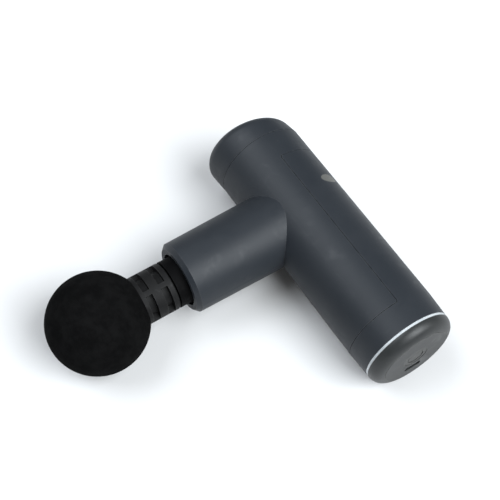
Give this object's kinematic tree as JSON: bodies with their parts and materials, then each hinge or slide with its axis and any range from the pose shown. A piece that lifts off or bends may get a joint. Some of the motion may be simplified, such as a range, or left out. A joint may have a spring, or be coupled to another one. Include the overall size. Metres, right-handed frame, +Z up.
{
  "type": "massage gun",
  "caption": "Compact T-shaped percussion massage gun with a round handle, a short barrel and a soft ball head on a plug-in adapter.",
  "frame": {"origin": "centre of the bounding box in X and Y, at the lowest point of the ball in Z", "axes": "+X along the handle towards its charging end, -Y along the barrel towards the ball head, +Z up with the gun lying on its side"},
  "size_m": [0.1438, 0.1606, 0.0486],
  "materials": {
    "casing": "soft-touch matte",
    "cap": "satin",
    "light_guide": "frosted",
    "button": "satin",
    "plug": "matte",
    "ball_foam": "matte",
    "adapter": "satin",
    "piston_plastic": "satin",
    "black_rubber": "matte",
    "steel": "satin",
    "screw_steel": "satin",
    "aluminium": "satin",
    "bronze": "satin",
    "counterweight": "satin",
    "magnet": "satin",
    "lamination": "satin",
    "copper": "gloss",
    "felt": "matte",
    "cell": "satin",
    "nickel": "satin",
    "inner_plastic": "matte",
    "board": "satin",
    "chip_black": "matte",
    "led": "gloss",
    "wire_red": "gloss",
    "wire_black": "gloss"
  },
  "bodies": {
    "main": {"front_shell": "casing", "back_cover": "casing", "top_cap": "casing", "light_ring": "light_guide", "bottom_cap": "cap", "screw_plugs": "plug", "cover_screws": "screw_steel", "bearing_outer_rings": "steel", "motor_base": "aluminium", "stator_core": "lamination", "stator_coils": "copper", "motor_screws": "screw_steel", "drive_frame": "aluminium", "drive_frame_screws": "screw_steel", "guide_cylinder": "bronze", "guide_dampers": "black_rubber", "dust_seal": "felt", "battery_cells": "cell", "battery_tabs": "nickel", "battery_carrier": "inner_plastic", "carrier_screws": "screw_steel", "main_board": "board", "board_parts": "chip_black", "board_screws": "screw_steel", "end_board": "board", "usb_receptacle": "nickel", "tact_switch": "steel", "ring_leds": "led", "end_screws": "screw_steel", "motor_wires": "wire_red", "battery_leads": "wire_red", "end_cable": "wire_black"},
    "rotor": {"motor_shaft": "steel", "rotor_bell": "steel", "rotor_magnets": "magnet", "bearing_inner_rings": "steel", "bearing_balls": "steel", "crank_disc": "counterweight", "crank_set_screw": "screw_steel"},
    "piston": {"piston": "piston_plastic", "wrist_pin": "steel"},
    "rod": {"connecting_rod": "aluminium", "wrist_bush": "bronze", "crank_bearing": "steel", "crank_pin": "steel", "crank_pin_screw": "screw_steel"},
    "head": {"ball_head": "ball_foam", "head_adapter": "adapter", "stem_o_rings": "black_rubber"},
    "button": {"power_button": "button", "switch_plunger": "chip_black"}
  },
  "joints": [
    {"name": "rotor_spin", "type": "hinge", "parent": "main", "child": "rotor", "pos_m": [-0.01966, 0.05725, 0.0243], "axis": [1, 0, 0], "continuous": true},
    {"name": "piston_stroke", "type": "slide", "parent": "main", "child": "piston", "axis": [0, 1, 0], "range_m": [0, 0.006]},
    {"name": "rod_swing", "type": "hinge", "parent": "piston", "child": "rod", "pos_m": [-0.01966, 0.02225, 0.0243], "axis": [1, 0, 0], "range_deg": [-5.38, 5.38]},
    {"name": "head_pull_off", "type": "slide", "parent": "piston", "child": "head", "axis": [0, -1, 0], "range_m": [0, 0.026]},
    {"name": "button_press", "type": "slide", "parent": "main", "child": "button", "axis": [-1, 0, 0], "range_m": [0, 0.0006], "stiffness_N_per_m": 4000}
  ]
}
